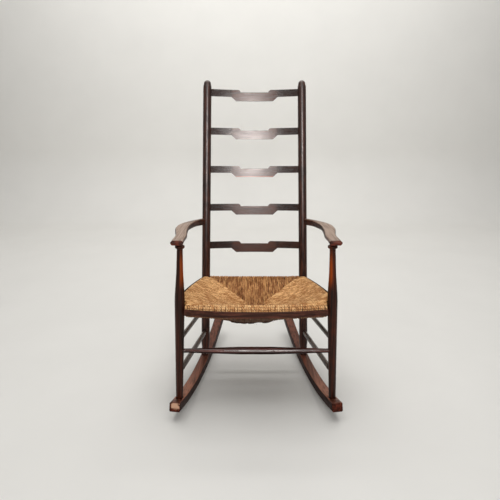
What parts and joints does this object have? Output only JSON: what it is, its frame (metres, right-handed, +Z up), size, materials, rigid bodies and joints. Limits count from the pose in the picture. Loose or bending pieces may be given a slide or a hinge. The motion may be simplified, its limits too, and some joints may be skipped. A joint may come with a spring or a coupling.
{
  "type": "rush seat rocking chair",
  "caption": "Ladder-back rocking armchair of turned dark wood with bent stepped slats, shaped arms, bowed seat front and a sagging woven rush seat.",
  "frame": {"origin": "bottom centre of the whole chair, on the floor under the rockers' lowest points' level", "axes": "+Z up, the chair faces -Y, +X to the right as seen from the front"},
  "size_m": [0.583, 0.703, 1.141],
  "materials": {
    "dark_wood": "satin",
    "slat_wood": "satin",
    "arm_wood": "satin",
    "rocker_wood": "satin",
    "stretcher_wood": "satin",
    "strip_wood": "satin",
    "rail_wood": "matte",
    "rush": "matte"
  },
  "bodies": {
    "root": {"left_front_post": "dark_wood", "right_front_post": "dark_wood", "left_back_post": "dark_wood", "right_back_post": "dark_wood", "back_slat_1": "slat_wood", "back_slat_2": "slat_wood", "back_slat_3": "slat_wood", "back_slat_4": "slat_wood", "back_slat_5": "slat_wood", "left_arm": "arm_wood", "right_arm": "arm_wood", "left_rocker": "rocker_wood", "right_rocker": "rocker_wood", "front_stretcher": "stretcher_wood", "back_stretcher": "stretcher_wood", "left_upper_stretcher": "stretcher_wood", "left_lower_stretcher": "stretcher_wood", "right_upper_stretcher": "stretcher_wood", "right_lower_stretcher": "stretcher_wood", "front_edge_strip": "strip_wood", "back_edge_strip": "strip_wood", "left_edge_strip": "strip_wood", "right_edge_strip": "strip_wood", "front_seat_rail": "rail_wood", "back_seat_rail": "rail_wood", "left_seat_rail": "rail_wood", "right_seat_rail": "rail_wood", "rush_seat": "rush"}
  },
  "joints": []
}
